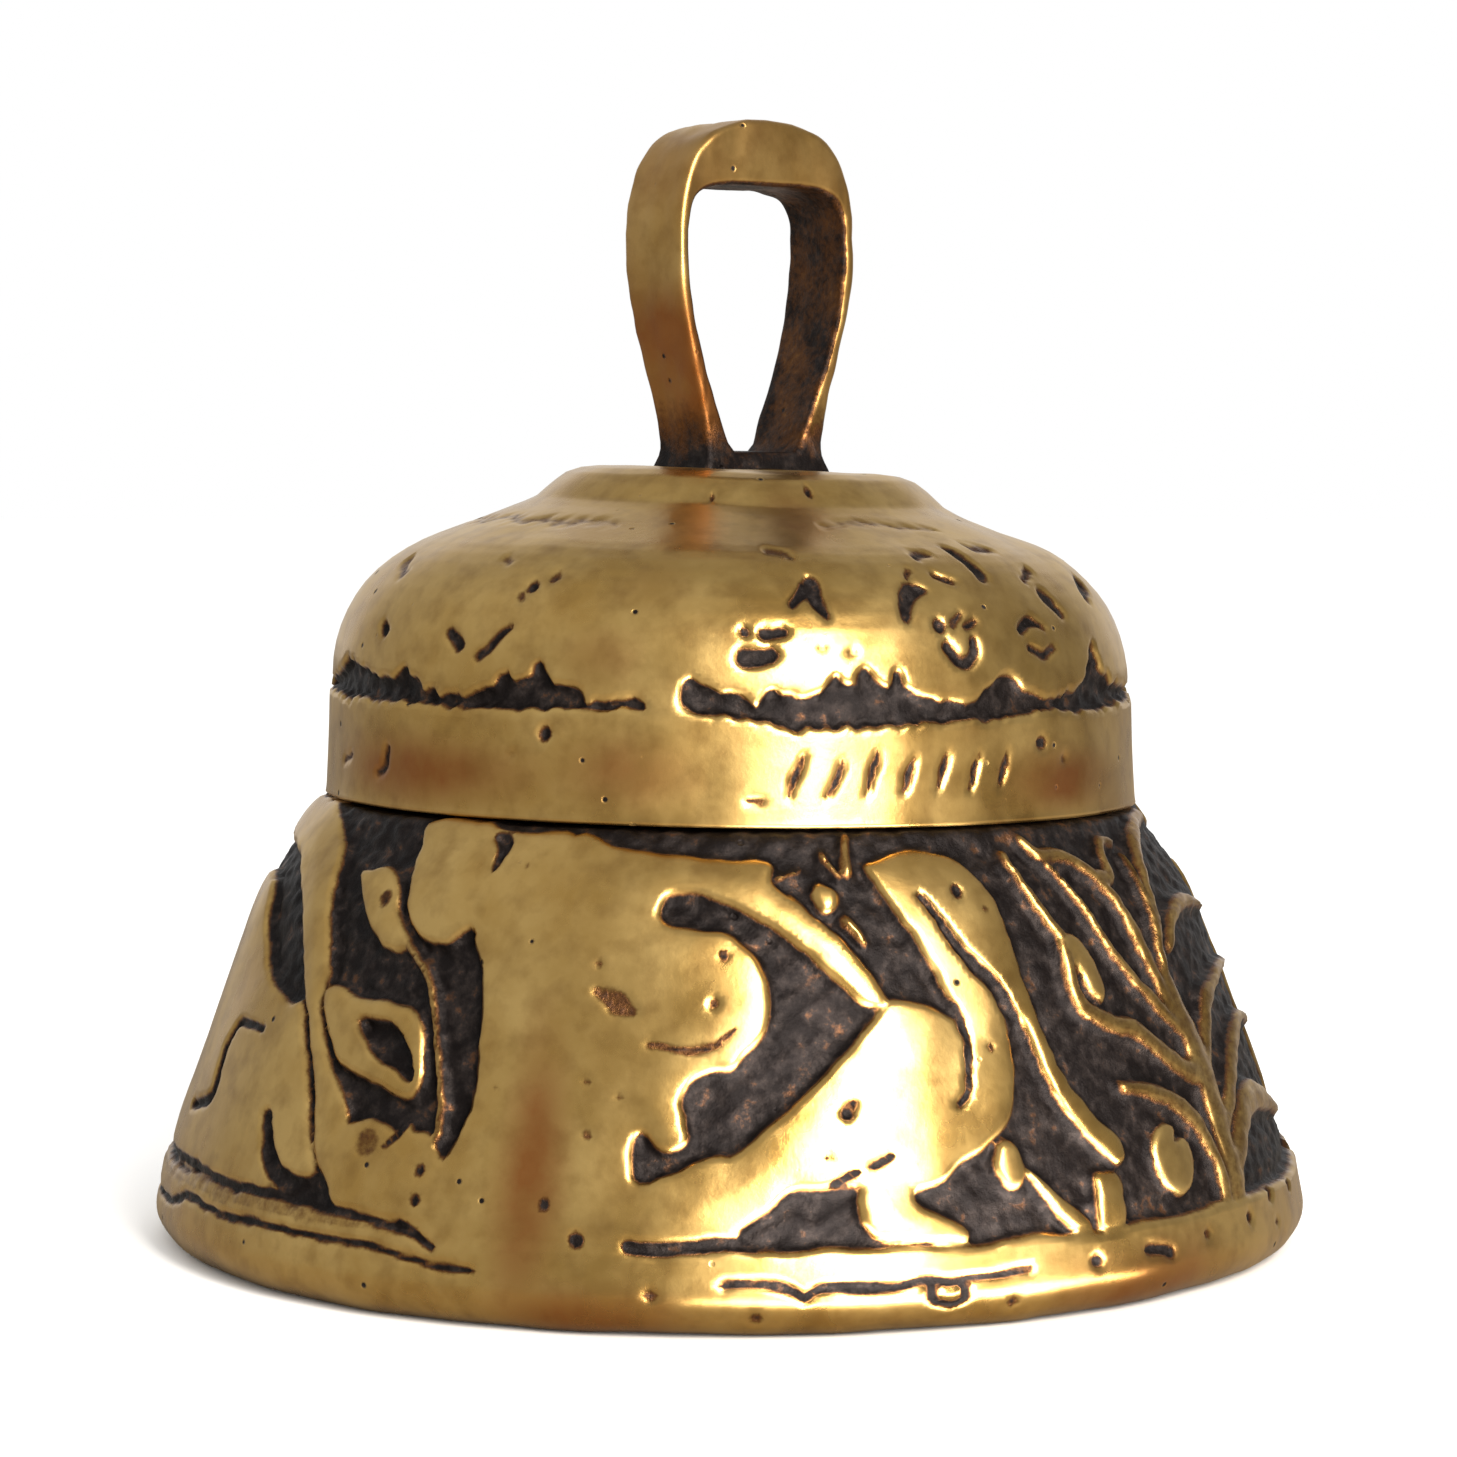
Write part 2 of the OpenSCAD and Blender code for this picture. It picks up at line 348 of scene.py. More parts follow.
class Carving:
    """Distances on one stretch of the bell's wall, laid flat: across in degrees, up in mm."""

    def __init__(self, angle, height, degree_mm):
        self.angle, self.height, self.degree_mm = angle, height, degree_mm

    def near(self, line, reach):
        """The places that may be within reach of a line."""
        low, high = line[:, :2].min(0), line[:, :2].max(0)
        side = reach / self.degree_mm
        return np.nonzero((self.angle > low[0] - side) & (self.angle < high[0] + side)
                          & (self.height > low[1] - reach) & (self.height < high[1] + reach))[0]

    def gap(self, line, at, closed):
        """Distance of the places at from a line, less the line's own half width where it has one."""
        x, y = self.angle[at] * self.degree_mm, self.height[at]
        best = np.full(len(at), 99.0)
        inside = np.zeros(len(at), bool)
        ends = np.roll(line, -1, 0) if closed else line[1:]
        for p, q in zip(line if closed else line[:-1], ends):
            ax, ay, bx, by = p[0] * self.degree_mm, p[1], q[0] * self.degree_mm, q[1]
            run = max((bx - ax) ** 2 + (by - ay) ** 2, 1e-9)
            t = np.clip(((x - ax) * (bx - ax) + (y - ay) * (by - ay)) / run, 0, 1)
            half = 0 if closed else (p[2] + (q[2] - p[2]) * t) / 2
            best = np.minimum(best, np.hypot(x - ax - t * (bx - ax), y - ay - t * (by - ay)) - half)
            if closed:
                crosses = (ay > y) != (by > y)
                inside ^= crosses & (x < ax + (y - ay) * (bx - ax) / (by - ay + 1e-12))
        return np.where(inside, -best, best)

    def shape(self, points, widths=None):
        """A filled outline, or a stroke where widths are given, as (places, signed distance)."""
        closed = widths is None
        if not closed:
            spread = np.interp(np.linspace(0, 1, len(points)), np.linspace(0, 1, len(widths)), widths)
            points = [(*p, w) for p, w in zip(points, spread)]
        line = rounded(points, closed)
        at = self.near(line, REACH)
        return at, self.gap(line, at, closed)


# The figures of the frieze, as outlines: what stands proud of the ground.
FIGURES = [
    # crouching beast: back, head with its muzzle, and the foreleg's upper edge
    [(-29.6, 21), (-28, 19.3), (-27, 17.5), (-26.6, 15.5), (-26.6, 13.3), (-27.1, 11.5), (-28.2, 9.8),
     (-29.2, 8.5), (-30.5, 7), (-31, 4.6), (-28, 3.6), (-9, 3.6), (-1, 4.6), (0.5, 5), (1.5, 8), (0, 10),
     (-3.5, 9.5), (-5, 9), (-7, 8.5), (-8.9, 8.5), (-9.4, 9.6), (-9, 10.5), (-8.2, 10.7), (-6.8, 9.9),
     (-5, 10.1), (-4.2, 10.6), (-4.5, 11.6), (-4.8, 12.6), (-4, 13.4), (-2, 13.9), (0, 14.1), (1.7, 15),
     (3.3, 16.1), (4, 17.5), (4, 18.8), (3, 20), (1.3, 20.8), (-0.5, 21.3), (-3, 21.4), (-6.5, 21.8),
     (-8, 22.3), (-7.3, 23.3), (-4, 23.3), (0, 22.8), (3, 22), (6, 21), (8, 20.1), (10, 19.1),
     (12, 18.1), (14.6, 17.2), (17, 17.4), (16, 18.6), (14, 19.8), (11.7, 21.1), (9.5, 22.2), (7.5, 23.3),
     (5.4, 24.2), (5.5, 25), (4, 25.3), (0, 25.4), (-6, 25.5), (-14, 26), (-20, 26.4), (-26, 23)],
    # its ear, on the neck
    [(-43.6, 26.6), (-42.9, 25.2), (-41.5, 23.4), (-40, 21.8), (-38, 20.8), (-35, 20.3), (-33, 20.3),
     (-31.6, 20.9), (-30.3, 21.3), (-29.2, 20.8), (-26, 19), (-20, 22), (-20, 26.4), (-28, 26.4),
     (-36, 26.8)],
    # haunch
    [(0, 10), (4, 11.4), (7.5, 12.9), (10, 14.3), (12.5, 15.4), (15, 16.7), (17, 17.8), (20, 17.7),
     (22.3, 17.3), (24.4, 16.6), (27, 16.5), (30.1, 15.6), (30.4, 14), (30, 12.6), (29, 11.2), (27.3, 10.2),
     (25, 9.5), (22.5, 8.9), (20, 8.1), (16.8, 7.7), (11.5, 7.9), (8, 7.9), (5.5, 7.7), (3.5, 6.8),
     (1, 5.9), (0, 4.8), (-6, 4.6), (-8, 8), (-5, 9)],
    # foot
    [(12, 8.3), (11.4, 6.9), (11.6, 6), (13, 5.3), (16, 5), (18.5, 5), (22, 4.9), (22.6, 5.5),
     (21.5, 6.2), (19.5, 6.7), (17.3, 7.3), (16.8, 8.4)],
    # the leaf that rises over the haunch and runs down as a stem
    [(16.3, 24.9), (18, 25.2), (20.5, 25.5), (24, 25.6), (27.5, 25.3), (30, 24.6), (32, 23.3),
     (32.8, 21.8), (32.9, 20.3), (33.2, 18.8), (33.9, 17.2), (34.8, 15.3), (36, 13.5), (37.5, 12),
     (39.2, 10.7), (41.2, 9.4), (41.3, 8.3), (39.8, 7.9), (38.2, 8.9), (36.4, 10.1), (34.9, 11.4),
     (33.7, 13), (32.7, 14.9), (31.8, 16.2), (30.4, 15.5), (29.5, 14), (27, 13), (24.8, 14.8),
     (24.4, 16.8), (23.2, 18), (22, 19.4), (20.5, 20.8), (19, 22), (17.5, 23.5)],
    # wedge and stub beside the stem's foot
    [(29.3, 8.7), (31, 8), (33, 7), (35, 6), (36.2, 5), (34, 4.8), (32.8, 5.4), (31.3, 6.4), (29.8, 7.7)],
    [(36.7, 7.8), (38.2, 7.9), (40, 7.6), (40.2, 6.5), (39.9, 4.8), (37, 4.8), (36.5, 6.3)],
    # teardrop bud
    [(-51, 23.8), (-48.5, 24.1), (-45.5, 24.1), (-43.4, 23.4), (-41.5, 22), (-40, 21.1), (-38.6, 20.3),
     (-39, 19.6), (-41.5, 19.6), (-44, 20.2), (-46.3, 21.2), (-49, 22.5)],
    # almond ring
    [(-49.9, 17), (-49, 17.5), (-47, 17.6), (-44, 17.2), (-40, 17), (-36.5, 16.7), (-34.5, 16),
     (-33.4, 14.8), (-32.7, 13.4), (-33.2, 12.2), (-34.6, 11.9), (-37, 12.2), (-40, 12.6), (-42.5, 12.9),
     (-45, 13.4), (-47, 14.5), (-49.3, 16)],
    # paw under the ring
    [(-41.6, 10.2), (-40.3, 10.4), (-38.5, 10.7), (-36.3, 10.6), (-34.8, 10.3), (-33.4, 10.9),
     (-32.3, 10.4), (-31, 10.4), (-29.8, 9.7), (-28.5, 9), (-26, 8), (-26, 4), (-28, 4.6), (-32.5, 5.3),
     (-36, 5.5), (-40, 5.8), (-41.3, 6.4), (-42.6, 7.4), (-44.2, 8.2)],
    # branch that bends down from the band to the paw
    [(-84, 26.9), (-78, 27.1), (-70, 26.9), (-64, 26.1), (-60, 25.2), (-57, 24.4), (-54.8, 22.5),
     (-53, 20.8), (-51, 19), (-49.8, 17.6), (-49.9, 16.2), (-48.7, 15.3), (-47, 14), (-45.3, 12.9),
     (-43.5, 12), (-42, 11), (-41.4, 10.2), (-40.5, 9), (-43, 7.6), (-44.9, 8.4), (-46, 9.8),
     (-47.4, 11.6), (-49.3, 13.4), (-51, 15), (-53.3, 16.3), (-55, 17.4), (-57.5, 19.3), (-60, 20.8),
     (-64, 22.6), (-68, 23.7), (-74, 24.2), (-80, 24.4), (-85, 25)],
    # second beast's flank
    [(-53.5, 16.2), (-56, 16.1), (-60, 16.7), (-65, 17.9), (-70, 19.8), (-73, 21.6), (-76, 22.4),
     (-81, 22.6), (-84, 21), (-85, 17), (-85, 11), (-84, 7), (-75, 5.8), (-65, 5.8), (-58, 5.6),
     (-50, 5.6), (-44.6, 7.4), (-44.5, 8.1), (-46.3, 9.6), (-47.7, 11.4), (-49.7, 13.3), (-51.7, 14.9)],
    # round bulb at the plant's foot
    [(45, 8), (45.7, 9.3), (48.2, 10), (50.6, 9.3), (51.6, 8), (50.6, 6.6), (48.2, 5.8), (45.8, 6.6)],
    # curled leaf
    [(39.8, 20.2), (41.8, 20.7), (43.6, 20), (44.9, 18.6), (45.2, 17.2), (44.4, 16.5), (43.2, 16.8),
     (42, 17.4), (41.4, 18.6)],
    # blossom
    [(9.3, 23.3), (10.5, 24), (12.4, 23.6), (12.6, 22.9), (11.5, 22.2), (10.2, 22.3)],
    # knob between haunch and stem
    [(26, 8.7), (26.6, 9.7), (27.8, 10), (29, 9.6), (29.6, 8.6), (29, 7.6), (27.8, 7.3), (26.6, 7.7)],
]
# Ribs that stand proud: the line down the middle, and widths in mm along it.
RIBS = [
    # tendril beside the back
    ([(-39, 20.2), (-37, 19.4), (-35.3, 18.6), (-33.8, 17.5), (-32.5, 16), (-31.3, 14.5), (-30.6, 13),
      (-30.1, 11.5), (-30.1, 10), (-30.5, 9)], [0.6, 0.55, 0.5]),
    # the plant: its stem, then its leaves from left to right
    ([(57.3, 17), (58, 14.5), (58.4, 12), (58.6, 9), (58.5, 6.2), (58.3, 4.6)], [1.4, 2.2, 1.8, 1.3]),
    ([(56.3, 16), (55.2, 18), (54, 19.8), (52.8, 21.5), (51, 23), (48.5, 24.2), (45.5, 24.8),
      (42.5, 24.9), (40.6, 25.6)], [1.1, 0.9, 0.7]),
    ([(57, 14.6), (53.5, 16.4), (50.5, 18), (48, 19.6), (46.3, 21.2), (44.6, 22.9), (42.8, 24.4)],
     [1.0, 0.7, 0.5]),
    ([(57.2, 16.5), (57.9, 18.5), (58.8, 20.5), (59.6, 22.5), (60, 24.3)], [1.0, 0.8, 0.5]),
    ([(59, 19.5), (60.5, 21.8), (63, 23.6), (67, 25), (72, 25.6), (78, 25.9)], [0.7, 1.0, 0.7]),
    ([(51.5, 23.2), (53.8, 23.3), (55, 24.4), (57, 25.2), (59.5, 25.1)], [0.9, 0.7, 0.5]),
    ([(60, 12.5), (62.5, 14), (66, 15.7), (71, 16.6), (77, 17.2), (82, 17)], [1.0, 1.1, 0.6]),
    ([(59.5, 8.8), (62, 10), (66, 11.7), (71, 13), (77, 14), (83, 13.4)], [1.0, 1.2, 0.7]),
    ([(60, 6.8), (64, 8.8), (69, 9.8), (75, 9.4), (81, 8.3)], [1.2, 1.7, 0.9]),
    ([(60.5, 18.8), (65, 20.6), (71, 21.3), (79, 20.6)], [0.7, 1.0, 0.5]),
    ([(40.2, 20), (40, 18.3), (40.4, 16.9), (42, 16), (45, 15.3), (48, 14.9), (50.5, 14.1), (52.8, 13.1),
      (55, 12.3), (57, 12)], [1.1, 1.1, 1.3]),
    ([(36.4, 24.8), (37.6, 23), (38.8, 21.7), (40.5, 20.5)], [0.7, 0.8]),
    ([(43.5, 12.2), (47, 11.8), (50, 11.2), (52.6, 10.2), (54.5, 8.8), (55.7, 7), (56.1, 4.8)],
     [0.7, 1.1, 1.0]),
    # scraps of leaf in the rough ground over the beast's leg
    ([(5.8, 24.3), (8.8, 24.7)], [0.35, 0.3]),
    ([(11.4, 25.4), (13, 24.3)], [0.5, 0.4]),
    ([(14, 24.6), (14.6, 26.2)], [0.7, 0.6]),
    ([(12.9, 21.7), (14.6, 20.7)], [0.8, 0.5]),
    ([(7.3, 23.4), (8.4, 22.7)], [0.3, 0.3]),
    # sill that the frieze stands on
    ([(-91, 4.6), (-42, 4.8), (-31, 4)], [1.6, 1.6]),
]
# Cuts into what stands proud: line, widths in mm, and depth as a share of a full cut.
SKIRT_CUTS = [
    # notch behind the ear
    ([(-31, 26), (-29.4, 25.6), (-29.6, 24.3)], [0.4, 0.9, 0.1], 1.2),
    # seams of the leaf over the haunch
    ([(22.3, 22.9), (24, 21.6), (25.7, 20.2), (27.5, 19), (29.2, 17.9), (30.5, 16.6), (31.4, 15)],
     [0.3, 0.7, 1.0], 1.3),
    ([(24.2, 17.2), (24.9, 15.6), (24.7, 14), (24, 12.9), (22.8, 12.1)], [0.4, 0.3], 0.7),
    # eye and mouth of the beast, worn nearly away
    ([(-14, 18), (-12, 17.5), (-10, 17)], [0.7, 1.2, 0.6], 0.32),
    ([(-8, 15.3), (-5, 15.1), (-2, 15.4), (0.3, 16.3)], [0.3, 0.5, 0.2], 0.4),
    # slit in the paw
    ([(-33.3, 11.2), (-34.2, 9.9), (-35.2, 9.2)], [0.5, 0.2], 0.9),
    # hooked fold and slit on the second beast's flank
    ([(-60, 14.4), (-64, 14.4), (-66.5, 14), (-67.8, 12.8), (-67.4, 11.3), (-66.7, 10), (-69, 9.3),
      (-73, 9)], [0.3, 0.7, 0.5], 0.8),
    ([(-53, 9.7), (-52, 8.7), (-50.4, 7.6), (-48, 6.9), (-45, 6.7), (-42.2, 6.6)], [0.7, 0.9, 1.1, 0.6], 1.2),
    # lines along the sill
    ([(-92, 5.9), (-75, 6.1), (-65, 6.2), (-58, 5.9), (-50, 5.9), (-45, 6.1), (-41, 5.8), (-36, 5.4),
      (-32.5, 5.2)], [0.4, 0.5, 0.3], 0.8),
    ([(-32, 5.3), (-30, 5), (-28, 4.5)], [0.6, 0.3], 0.8),
    ([(-92, 3.2), (-80, 3.3), (-73, 3.5), (-69, 3.9), (-66.5, 4.3), (-63, 4.2), (-55, 4), (-45, 4.1),
      (-35, 3.9), (-29, 3.6), (-23.5, 3.4)], [0.35, 0.35, 0.2], 0.7),
    ([(-9, 5.1), (-5, 5), (-1, 5.1), (2, 5.1)], [0.6, 0.6], 1.0),
    ([(-1, 3.1), (2, 3.2), (5, 3), (6.5, 2.5), (8, 2.9), (11, 2.9), (15, 2.8), (17.5, 3), (20, 2.9),
      (24, 3.1), (28, 3.3)], [0.3, 0.5, 0.2], 0.7),
    ([(18.2, 2.8), (18.5, 1.9), (19.8, 1.5), (21.2, 1.9), (21.3, 2.8)], [0.35, 0.3], 0.7),
    ([(42, 3.2), (45, 2.9)], [0.5, 0.5], 0.7),
    ([(13, 9), (15, 9.5)], [0.35, 0.3], 0.6),
    ([(9.6, 8.2), (11.6, 8.7)], [0.35, 0.3], 0.6),
]
# The dark almond inside the ring, and the hook inside the arch.
HOLLOWS = [
    [(-42.9, 15.9), (-40, 15.9), (-37, 15.4), (-34.9, 14.3), (-33.9, 13.1), (-34.6, 12.9), (-36.5, 13.4),
     (-39, 13.9), (-41.3, 14.9)],
    [(48.8, 9), (50, 9.7), (51.6, 9.6), (53, 8.4), (52.8, 6.4), (51.9, 7), (51.6, 8.2), (50.4, 9)],
]
# Round pits and dimples: angle, height, radius in mm, depth as a share of a full cut.
SKIRT_PITS = [
    (-37.5, 9.3, 0.9, 0.35), (-44, 22.4, 0.5, 0.5), (-30.6, 8.4, 0.35, 0.8), (-30.6, 6.9, 0.35, 0.8),
    (-17.3, 7, 0.35, 0.8), (-14, 5.2, 0.45, 0.8), (-14, 13.4, 0.25, 0.5), (-10.6, 12.7, 0.25, 0.5),
    (-13.7, 10.5, 0.3, 0.5), (-7, 2.6, 0.35, 0.6), (-1.8, 17.6, 0.4, 0.5), (-0.6, 20, 0.35, 0.6),
    (-14.3, 19.6, 0.3, 0.4), (-24, 13, 0.2, 0.4), (27.3, 23.2, 0.4, 0.8), (30.3, 22.3, 0.25, 0.5),
    (27.5, 15, 0.3, 0.6), (11.3, 11.8, 0.4, 0.8), (12, 12.3, 0.3, 0.7), (9.4, 9.6, 0.25, 0.6),
    (35.6, 3.2, 0.4, 0.8), (51, 3.6, 0.35, 0.6), (59, 3.7, 0.35, 0.6), (65, 4.3, 0.4, 0.8),
    (66, 2.7, 0.3, 0.5), (72, 4.4, 0.4, 0.8), (26, 1.4, 0.35, 0.6), (2, 1.2, 0.4, 0.5), (-25, 24.5, 0.2, 0.4),
]


def press(depth, dark, at, gap, cut, soot=1.0):
    """Presses a cut into depth and blackens it, where gap is the distance outside the cut's outline."""
    depth[at] = np.maximum(depth[at], cut * smoothstep((EDGE - gap) / (2 * EDGE)))
    dark[at] = np.maximum(dark[at], soot * smoothstep((SOOT_EDGE - gap) / FADE))


def prick(depth, dark, wall, pits):
    """Presses round pits in, each with a worn soft edge."""
    for across, up, radius, share in pits:
        gap = np.hypot((wall.angle - across) * wall.degree_mm, wall.height - up) - radius
        at = np.nonzero(gap < 0.4)[0]
        press(depth, dark, at, gap[at] + 0.08, 0.7 * CUT * share, min(1.2 * share, 0.9))


def carve_frieze(angle, height, spots):
    """How far the skirt's face lies under its outer envelope at each place, in mm, and how sooty it is."""
    half = half_way_round(angle)
    wall = Carving(half + 0.3 * ripple(spots, 5, 3) + 0.12 * ripple(spots, 1.0, 5),
                   height + 0.15 * ripple(spots, 4, 4) + 0.07 * ripple(spots, 0.9, 6), SKIRT_DEGREE)
    proud = smoothstep((SILL_Z - wall.height) / 0.5 + 0.5)
    bare = proud.copy()
    shapes = [(*wall.shape(figure), *FIGURE_WEAR) for figure in FIGURES]
    shapes += [(*wall.shape(line, [RIB_SPREAD * w for w in widths]), *RIB_WEAR) for line, widths in RIBS]
    for at, gap, droop, reach, polish in shapes:
        lift = smoothstep((EDGE - gap) / (2 * EDGE)) * (1 - droop * np.exp(np.minimum(gap, 0) / reach))
        proud[at] = np.maximum(proud[at], lift)
        bare[at] = np.maximum(bare[at], polish * smoothstep((BRIGHT_EDGE - gap) / FADE))
    depth, dark = GROUND * (1 - proud), 1 - bare
    depth *= 1 - 0.5 * smoothstep((wall.height - 25) / 1.4)  # the ground rises to meet the band
    # a shallow hollow down the beast's chest
    depth += 0.14 * np.exp(-((wall.angle + 20) / 3.5) ** 2 - ((wall.height - 9) / 7) ** 2)
    for hollow in HOLLOWS:
        press(depth, dark, *wall.shape(hollow), GROUND)
    for line, widths, share in SKIRT_CUTS:
        press(depth, dark, *wall.shape(line, widths), 0.7 * CUT * share, min(share / 0.6, 1))
    prick(depth, dark, wall, SKIRT_PITS)
    return depth, dark


# The worn groove over the band, as notched outlines, and the marks on the dome and band.
GROOVE = [
    [(-93, 33.2), (-80, 33.2), (-70, 33.1), (-60, 33.1), (-50, 33.1), (-40, 33.1), (-30, 33.0), (-25, 33.1),
     (-20, 33.2), (-12, 33.3), (-11.8, 33.6), (-13, 33.8), (-16, 33.6), (-19.5, 33.6), (-20, 34.1),
     (-23, 34.3), (-24.5, 34.5), (-26.5, 35.6), (-27.5, 35), (-29, 34.5), (-30.3, 34.4), (-31.2, 35.1),
     (-32.3, 34.8), (-33.4, 34), (-36, 33.9), (-38, 33.6), (-45, 33.7), (-48, 34.2), (-50.5, 34.9),
     (-52.5, 34.5), (-56, 34.1), (-60, 34.3), (-66, 34.9), (-72, 35.2), (-75, 34.4), (-84, 33.9),
     (-93, 33.7)],
    [(-6, 33.5), (-5.3, 34.6), (-4.3, 34.5), (-2, 34), (1, 33.8), (3.3, 33.3), (4.3, 33.9), (6, 34),
     (8, 33.7), (10, 33.6), (12, 33.9), (13.3, 34.7), (14.3, 34.9), (15.6, 34.4), (16.7, 34.6),
     (18, 35.1), (19.2, 34.9), (20.3, 34.3), (21.6, 34.3), (22.5, 35.3), (23.3, 34.9), (24, 34),
     (26, 33.6), (30, 33.4), (33, 33.1), (35.5, 33.5), (38, 34.2), (41, 34.6), (43.3, 34.2), (46, 33.4),
     (51, 33.2), (55, 33.4), (58, 33.8), (60, 34.7), (61.6, 35.6), (63.4, 36.3), (64.6, 35.6), (66, 34.6),
     (70, 33.7), (78, 33.3), (93, 33.2), (93, 32.9), (80, 32.7), (65, 32.6), (55, 32.4), (50, 32.7),
     (44, 32.5), (40, 32.2), (30, 32.3), (20, 32.1), (10, 32.1), (5, 32.4), (0, 32.8), (-4, 32.8)],
]
CROWN_MARKS = [
    ([(5, 41.9), (9, 41.5)], [0.5, 0.4], 0.5),
    ([(9, 39.1), (11.5, 39.9), (12.5, 39.2), (13.6, 38.3)], [0.5, 1.3, 1.0, 0.4], 0.9),
    ([(2.3, 35.9), (5.6, 36)], [1.4, 1.1], 0.9),
    ([(5.2, 37.3), (7.4, 37.4)], [1.0, 0.8], 0.8),
    ([(25.6, 38.1), (27.5, 39.4), (29.8, 39.5)], [0.6, 1.3, 0.6], 0.9),
    ([(28, 40.3), (28.8, 40.6)], [0.4, 0.3], 0.7),
    ([(33, 37.5), (34.6, 38.1)], [0.5, 0.3], 0.8),
    ([(35.2, 37.4), (36.8, 37.8)], [0.4, 0.3], 0.8),
    ([(31, 36.5), (32.2, 35.8), (34, 35.6), (35.6, 36), (35.9, 36.7)], [0.7, 0.7, 0.7], 0.9),
    ([(46, 37.2), (48.4, 37.6), (51, 37.4)], [0.7, 0.8, 0.4], 0.8),
    ([(46.6, 36.2), (49, 35.7), (51.6, 36.2)], [0.5, 0.5], 0.8),
    ([(42, 41.6), (42.8, 40.3)], [1.1, 1.0], 0.8),
    ([(33, 40.4), (36, 39.9)], [0.5, 0.4], 0.7),
    ([(32, 41.6), (35.5, 41.7)], [0.6, 0.4], 0.7),
    ([(53, 40), (57, 40.5)], [0.4, 0.5], 0.7),
    ([(55.8, 39.1), (57.4, 38.3)], [1.0, 0.9], 0.8),
    ([(70, 39), (75, 39.7)], [0.9, 1.2], 0.8),
    ([(48, 41.9), (53, 41.6)], [0.4, 0.4], 0.6),
    ([(-43, 37.2), (-41, 36.6)], [0.7, 0.9], 0.8),
    ([(-37, 35.9), (-35.2, 36.4), (-33.8, 37.2), (-32.4, 37.7)], [0.6, 0.7, 0.3], 0.8),
    ([(-60, 37.5), (-58.5, 37.1)], [0.6, 0.7], 0.8),
    ([(-40.5, 41.4), (-38.5, 41.1)], [0.35, 0.3], 0.5),
    ([(-69, 41), (-66, 40.6), (-63, 40.2)], [0.5, 0.5], 0.5),
    ([(-92, 43.4), (-70, 43.5), (-50, 43.5), (-36, 43.4), (-27, 43.2)], [0.1, 0.25, 0.0], 0.45),
    ([(18, 43.3), (30, 43.3), (40, 43.2), (48, 43)], [0.0, 0.2, 0.0], 0.45),
    # worn marks on the band
    ([(-57, 28.8), (-55.2, 29.2), (-54.6, 30.4)], [0.4, 0.6, 0.4], 0.7),
    ([(-69, 29.2), (-66, 29.6)], [0.4, 0.5], 0.6),
    ([(2.4, 28), (4.2, 28)], [0.4, 0.3], 0.7),
]
CROWN_PITS = [
    (-25, 31.6, 0.4, 0.7), (-30, 30.6, 0.15, 0.5), (47, 30.6, 0.4, 0.7), (-31, 39.8, 0.4, 0.7),
    (-32, 39.2, 0.3, 0.5), (-28, 40.5, 0.4, 0.5), (2.3, 37.4, 0.35, 0.7), (30.7, 37.6, 0.45, 0.8),
    (12.8, 36.4, 0.3, 0.4), (16.5, 36.2, 0.3, 0.4), (20, 45.2, 0.45, 0.6), (-8, 44.8, 0.3, 0.6),
    (52, 29.8, 0.3, 0.4),
]
# A plain border of slanting leaf cuts on the band, no two quite the same height.
LEAF_CUTS = 7
LEAF_FROM, LEAF_TO = 8.5, 39.5
for across in np.linspace(LEAF_FROM, LEAF_TO, LEAF_CUTS):
    tip = 0.2 * math.sin(3.1 * across)
    CROWN_MARKS.append(([(across - 0.9, 28.4), (across, 29.4 + tip), (across + 0.8, 30.4 + tip)],
                        [0.1, 0.45, 0.1], 0.8))


def carve_crown(angle, height, spots):
    """How far the band's and dome's face lies under its outer envelope, in mm, and how sooty it is."""
    half = half_way_round(angle)
    wall = Carving(half + 0.3 * ripple(spots, 4, 8) + 0.15 * ripple(spots, 0.9, 10),
                   height + 0.12 * ripple(spots, 3, 9) + 0.08 * ripple(spots, 0.8, 11), CROWN_DEGREE)
    depth, dark = np.zeros(len(spots)), np.zeros(len(spots))
    for outline in GROOVE:
        at, gap = wall.shape(outline)
        press(depth, dark, at, gap + 0.12 * ripple(spots[at], 0.6, 13), CUT)
    for line, widths, share in CROWN_MARKS:
        stroke = wall.shape(line, [0.8 * w for w in widths])
        press(depth, dark, *stroke, 0.6 * CUT * share, min(share, 0.85))
    prick(depth, dark, wall, CROWN_PITS)
    # darker in the corner round the handle's foot
    foot = np.maximum(np.abs(spots[:, 0] - CROWN_SHIFT[0]) - 4.9, np.abs(spots[:, 1] - CROWN_SHIFT[1]) - 2.9)
    foot = np.where(height > 40, foot + 0.5 * ripple(spots, 1.5, 12), 9)
    return depth, np.maximum(dark, 0.85 * smoothstep((1.1 - foot) / 1.0))


TILT_BAND, TILT_CROWN = 0.014, 0.016  # the mould shifted a little, so band and crown sit askew
DENT = 0.16  # the hand-worn surface rises and falls by this much, in mm
ROUGH_GROUND = 0.16  # and the sooty ground by this much more
DULL_INSIDE = 0.26  # patina of the cast skin inside


def corners(mesh):
    """The places of a mesh's vertices, in mm."""
    co = np.zeros(len(mesh.vertices) * 3)
    mesh.vertices.foreach_get("co", co)
    return co.reshape(-1, 3) / MM


def store(mesh, name, values):
    """Keeps a value for each vertex under that name, for the metal's shader to read."""
    mesh.attributes.new(name, "FLOAT", "POINT").data.foreach_set("value", values.astype(np.float32))


